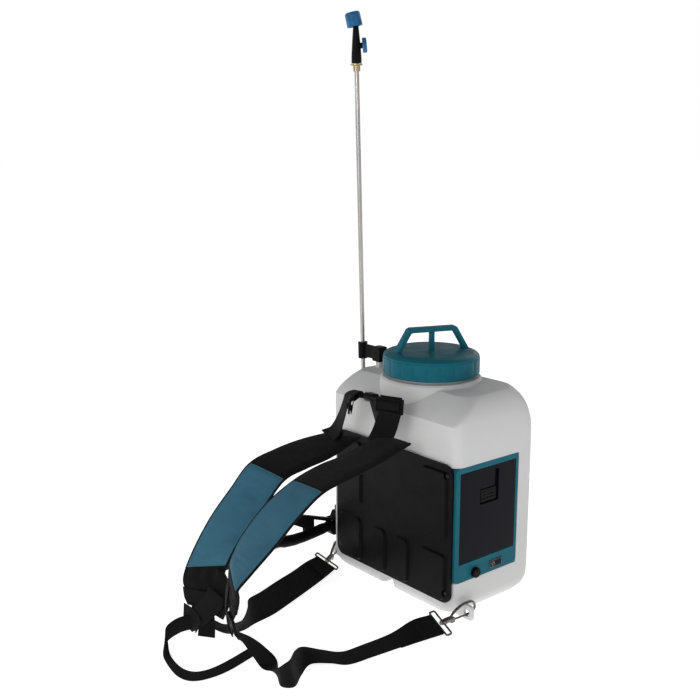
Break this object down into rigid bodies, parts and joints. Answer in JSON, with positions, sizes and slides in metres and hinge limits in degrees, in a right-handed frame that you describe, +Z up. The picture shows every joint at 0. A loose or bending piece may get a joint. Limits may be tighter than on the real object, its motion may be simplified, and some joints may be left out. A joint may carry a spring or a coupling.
{
  "type": "backpack sprayer",
  "caption": "Battery backpack sprayer with a lidded tank, pump unit, padded shoulder straps, clipped spray lance and hose.",
  "frame": {"origin": "middle of the tank's flat base, on the floor", "axes": "+Z up, -Y towards the wearer's back, +X towards the battery door, -X towards the lance"},
  "size_m": [0.5632, 0.8575, 1.1668],
  "materials": {
    "white_tank": "translucent blow-moulded polyethylene",
    "teal_plastic": "fine texture",
    "black_plastic": "fine texture",
    "smoked_plastic": "glossy",
    "grey_plastic": "fine texture",
    "red_plastic": "smooth",
    "blue_plastic": "smooth",
    "rubber": "matte",
    "steel": "polished stainless",
    "nickel": "nickel plated",
    "brass": "turned",
    "webbing": "woven polyester webbing",
    "pad_fabric": "coated pack cloth over foam, teal and black",
    "circuit": "solder mask"
  },
  "bodies": {
    "sprayer": {"anchor_bracket": "black_plastic", "anchor_rod": "steel", "back_plate": "black_plastic", "battery_terminal": "black_plastic", "control_board": "circuit", "door_pin": "steel", "gun_body": "black_plastic", "hook_loop_left": "nickel", "hook_loop_right": "nickel", "hose_nut": "black_plastic", "hose_relief": "rubber", "ladder_lock_left": "black_plastic", "ladder_lock_right": "black_plastic", "lance_clip": "black_plastic", "lance_nut": "black_plastic", "lever_pin": "steel", "outlet_elbow": "rubber", "pad_left": "pad_fabric", "pad_right": "pad_fabric", "plate_screw_1": "steel", "plate_screw_2": "steel", "plate_screw_3": "steel", "plate_screw_4": "steel", "power_label": "smoked_plastic", "power_switch": "black_plastic", "pump_head": "black_plastic", "pump_motor": "steel", "spray_hose": "rubber", "strainer_basket": "grey_plastic", "strap_lower_left": "webbing", "strap_lower_right": "webbing", "strap_tail_left": "webbing", "strap_upper_left": "webbing", "strap_upper_right": "webbing", "suction_hose": "rubber", "tank_shell": "white_tank", "triglide_left": "black_plastic", "triglide_right": "black_plastic", "unit_housing": "teal_plastic"},
    "cap_carrier": {"cap_gasket": "rubber"},
    "cap": {"tank_cap": "teal_plastic"},
    "door": {"battery_door": "smoked_plastic"},
    "latch": {"door_latch": "grey_plastic"},
    "battery": {"battery_pack": "black_plastic"},
    "button": {"battery_button": "red_plastic"},
    "knob": {"power_knob": "black_plastic"},
    "lever": {"trigger_lever": "black_plastic"},
    "lock": {"trigger_lock": "red_plastic"},
    "lance": {"lance_tube": "steel", "lance_flange": "brass", "nozzle_body": "black_plastic"},
    "cone_cap": {"nozzle_cap_top": "blue_plastic"},
    "side_cap": {"nozzle_cap_side": "blue_plastic"},
    "hook_right": {"hook_body_right": "nickel"},
    "gate_right": {"hook_gate_right": "nickel"},
    "hook_left": {"hook_body_left": "nickel"},
    "gate_left": {"hook_gate_left": "nickel"},
    "drain": {"drain_cap": "red_plastic"}
  },
  "joints": [
    {"name": "cap_lift", "type": "slide", "parent": "sprayer", "child": "cap_carrier", "axis": [0, 0, 1], "range_m": [0, 0.025]},
    {"name": "cap_turn", "type": "hinge", "parent": "cap_carrier", "child": "cap", "pos_m": [0, 0, 0.478], "axis": [0, 0, 1], "range_deg": [0, 900]},
    {"name": "door_swing", "type": "hinge", "parent": "sprayer", "child": "door", "pos_m": [0.1825, 0, 0.1155], "axis": [0, 1, 0], "range_deg": [0, 90]},
    {"name": "latch_slide", "type": "slide", "parent": "door", "child": "latch", "axis": [0, 0, 1], "range_m": [0, 0.008], "stiffness_N_per_m": 100, "springref_m": -0.002},
    {"name": "battery_slide", "type": "slide", "parent": "sprayer", "child": "battery", "axis": [0, 0, 1], "range_m": [0, 0.03]},
    {"name": "button_press", "type": "slide", "parent": "battery", "child": "button", "axis": [-1, 0, 0], "range_m": [0, 0.003], "stiffness_N_per_m": 300, "springref_m": -0.001},
    {"name": "knob_turn", "type": "hinge", "parent": "sprayer", "child": "knob", "pos_m": [0.1864, -0.055, 0.087], "axis": [1, 0, 0], "range_deg": [0, 270]},
    {"name": "lever_squeeze", "type": "hinge", "parent": "sprayer", "child": "lever", "pos_m": [-0.2015, -0.106, 0.091], "axis": [1, 0, 0], "range_deg": [0, 7.5], "stiffness_Nm_per_rad": 1.5, "springref_deg": -2.86},
    {"name": "lock_slide", "type": "slide", "parent": "sprayer", "child": "lock", "axis": [0, -1, 0], "range_m": [0, 0.003]},
    {"name": "lance_turn", "type": "hinge", "parent": "sprayer", "child": "lance", "pos_m": [-0.201, -0.001, 0.127], "axis": [0, -0.0319, 0.9995], "continuous": true},
    {"name": "cone_turn", "type": "hinge", "parent": "lance", "child": "cone_cap", "pos_m": [-0.202, -0.03442, 1.1362], "axis": [-0.1267, -0.187, 0.9742], "range_deg": [0, 540]},
    {"name": "side_turn", "type": "hinge", "parent": "lance", "child": "side_cap", "pos_m": [-0.19306, -0.02243, 1.09926], "axis": [0.6349, 0.766, 0.1008], "range_deg": [0, 720]},
    {"name": "hook_swivel_right", "type": "hinge", "parent": "sprayer", "child": "hook_right", "pos_m": [0.199, -0.15, 0.018], "axis": [0, 1, 0], "range_deg": [-6, 6]},
    {"name": "gate_open_right", "type": "hinge", "parent": "hook_right", "child": "gate_right", "pos_m": [0.199, -0.128, 0.0142], "axis": [1, 0, 0], "range_deg": [0, 25], "stiffness_Nm_per_rad": 0.02, "springref_deg": -11.46},
    {"name": "hook_swivel_left", "type": "hinge", "parent": "sprayer", "child": "hook_left", "pos_m": [-0.16509, -0.14028, 0.018], "axis": [-0.5299, 0.848, 0], "range_deg": [-6, 6]},
    {"name": "gate_open_left", "type": "hinge", "parent": "hook_left", "child": "gate_left", "pos_m": [-0.17674, -0.12162, 0.0142], "axis": [0.848, 0.5299, 0], "range_deg": [0, 25], "stiffness_Nm_per_rad": 0.02, "springref_deg": -11.46},
    {"name": "drain_turn", "type": "hinge", "parent": "sprayer", "child": "drain", "pos_m": [-0.01, -0.08, 0.0115], "axis": [0, 0, 1], "range_deg": [0, 360]}
  ],
  "couplings": [
    {"joint": "cap_lift", "follows": "cap_turn", "m_per_rad": 0.0015915}
  ]
}
